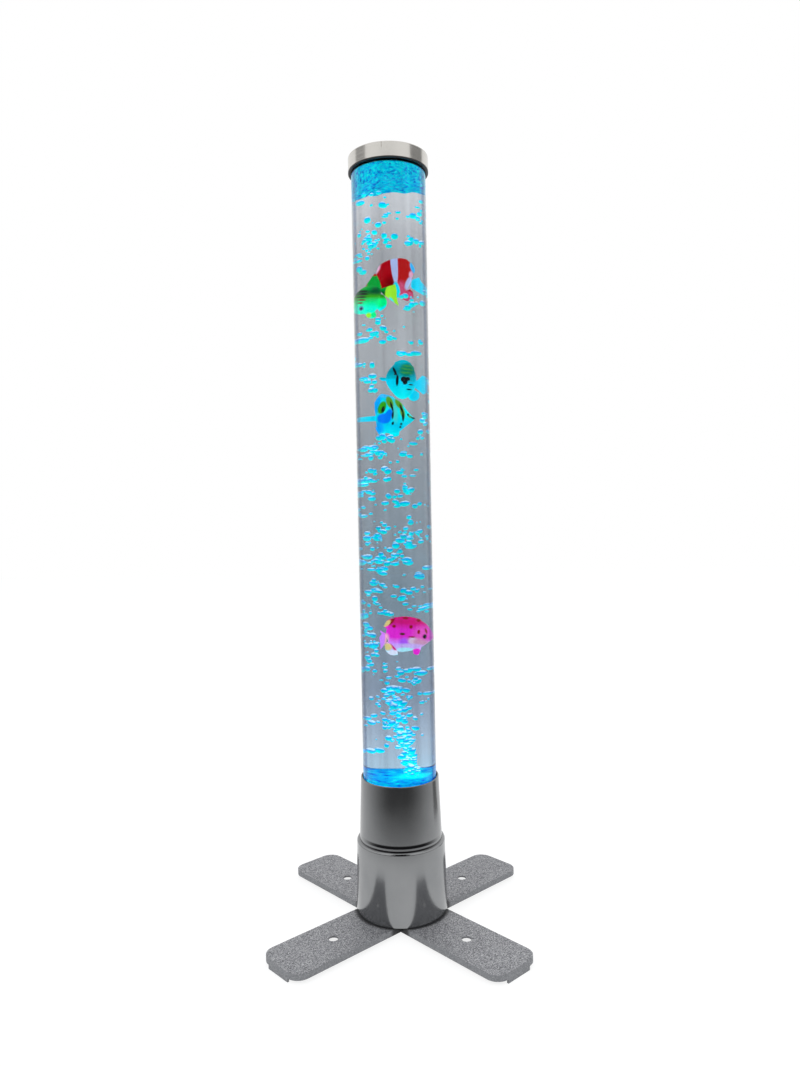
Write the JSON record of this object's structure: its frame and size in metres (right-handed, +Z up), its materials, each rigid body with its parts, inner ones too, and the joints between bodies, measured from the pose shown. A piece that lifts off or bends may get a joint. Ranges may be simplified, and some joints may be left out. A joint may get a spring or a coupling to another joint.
{
  "type": "bubble tube floor lamp",
  "caption": "Free-standing floor lamp: a clear water column with bubbles and drifting toy fish under a steel cap, on a tapered silver base and a flat cross foot.",
  "frame": {"origin": "on the floor, under the axis of the tube", "axes": "+Z up the tube; -Y is the front; the four foot arms lie on the diagonals; the power inlet and the button face +Y"},
  "size_m": [0.3286, 0.3286, 1.03],
  "materials": {
    "silver_texture": "matte",
    "silver_housing": "satin",
    "brushed_cap": "satin",
    "black_plastic": "matte",
    "black_rubber": "matte",
    "screw_steel": "satin",
    "clear_acrylic": "polished",
    "clear_nylon": "gloss",
    "clear_hose": "satin",
    "white_board": "satin",
    "led_lens": "gloss",
    "core_iron": "satin",
    "copper_wire": "gloss",
    "magnet_nickel": "gloss",
    "green_board": "satin",
    "white_plastic": "matte",
    "chip_black": "satin",
    "lead_sheath": "satin",
    "paint_red": "gloss",
    "paint_green": "gloss",
    "paint_teal": "gloss",
    "paint_striped": "gloss",
    "paint_pink": "gloss",
    "water": "polished",
    "air_bubbles": "polished"
  },
  "bodies": {
    "lamp": {"foot_cross": "silver_texture", "foot_screws": "screw_steel", "bottom_plate": "black_plastic", "shroud_screws": "screw_steel", "base_shroud_lower": "silver_housing", "mid_deck": "black_plastic", "deck_screws": "screw_steel", "base_shroud_upper": "silver_housing", "tube_collar": "black_rubber", "tube_socket": "black_plastic", "socket_screws": "screw_steel", "tube_gasket": "black_rubber", "led_board": "white_board", "led_chips": "led_lens", "led_board_screws": "screw_steel", "acrylic_tube": "clear_acrylic", "tube_floor": "clear_acrylic", "air_nozzle": "clear_nylon", "nozzle_washer": "black_rubber", "nozzle_nut": "black_plastic", "air_hose_lower": "clear_hose", "check_valve": "clear_nylon", "air_hose_upper": "clear_hose", "pump_case": "black_plastic", "pump_cover": "black_plastic", "pump_cover_screws": "screw_steel", "pump_feet": "black_rubber", "pump_core": "core_iron", "pump_coil": "copper_wire", "pump_pivot_pin": "screw_steel", "pump_diaphragm": "black_rubber", "pump_valve_block": "clear_nylon", "control_board": "green_board", "board_connectors": "white_plastic", "board_parts": "chip_black", "power_inlet": "chip_black", "inlet_pin": "magnet_nickel", "button_switch": "chip_black", "led_lead": "lead_sheath", "pump_lead": "lead_sheath"},
    "lid": {"cap_shell": "brushed_cap", "lid_plug": "black_plastic", "lid_seal": "black_rubber"},
    "red_fish": {"fish_red": "paint_red"},
    "green_fish": {"fish_green": "paint_green"},
    "teal_fish": {"fish_teal": "paint_teal"},
    "striped_fish": {"fish_striped": "paint_striped"},
    "pink_fish": {"fish_pink": "paint_pink"},
    "button": {"mode_button": "black_plastic", "switch_plunger": "chip_black"},
    "pump_arm": {"pump_lever": "screw_steel", "pump_magnet": "magnet_nickel"}
  },
  "joints": [
    {"name": "lid_lift", "type": "slide", "parent": "lamp", "child": "lid", "axis": [0, 0, 1], "range_m": [0, 0.12]},
    {"name": "red_fish_swim", "type": "slide", "parent": "lamp", "child": "red_fish", "axis": [0, 0, 1], "range_m": [-0.04, 0.085]},
    {"name": "green_fish_swim", "type": "slide", "parent": "lamp", "child": "green_fish", "axis": [0, 0, 1], "range_m": [-0.02, 0.11]},
    {"name": "teal_fish_swim", "type": "slide", "parent": "lamp", "child": "teal_fish", "axis": [0, 0, 1], "range_m": [-0.175, 0.025]},
    {"name": "striped_fish_swim", "type": "slide", "parent": "lamp", "child": "striped_fish", "axis": [0, 0, 1], "range_m": [-0.13, 0.065]},
    {"name": "pink_fish_swim", "type": "slide", "parent": "lamp", "child": "pink_fish", "axis": [0, 0, 1], "range_m": [-0.14, 0.095]},
    {"name": "button_press", "type": "slide", "parent": "lamp", "child": "button", "axis": [0, -1, 0], "range_m": [0, 0.001], "stiffness_N_per_m": 1000},
    {"name": "pump_arm_swing", "type": "hinge", "parent": "lamp", "child": "pump_arm", "pos_m": [0.028, 0, 0.043], "axis": [0, 1, 0], "range_deg": [-1.2, 1.2], "stiffness_Nm_per_rad": 0.2, "deforming": ["pump_diaphragm"]}
  ]
}
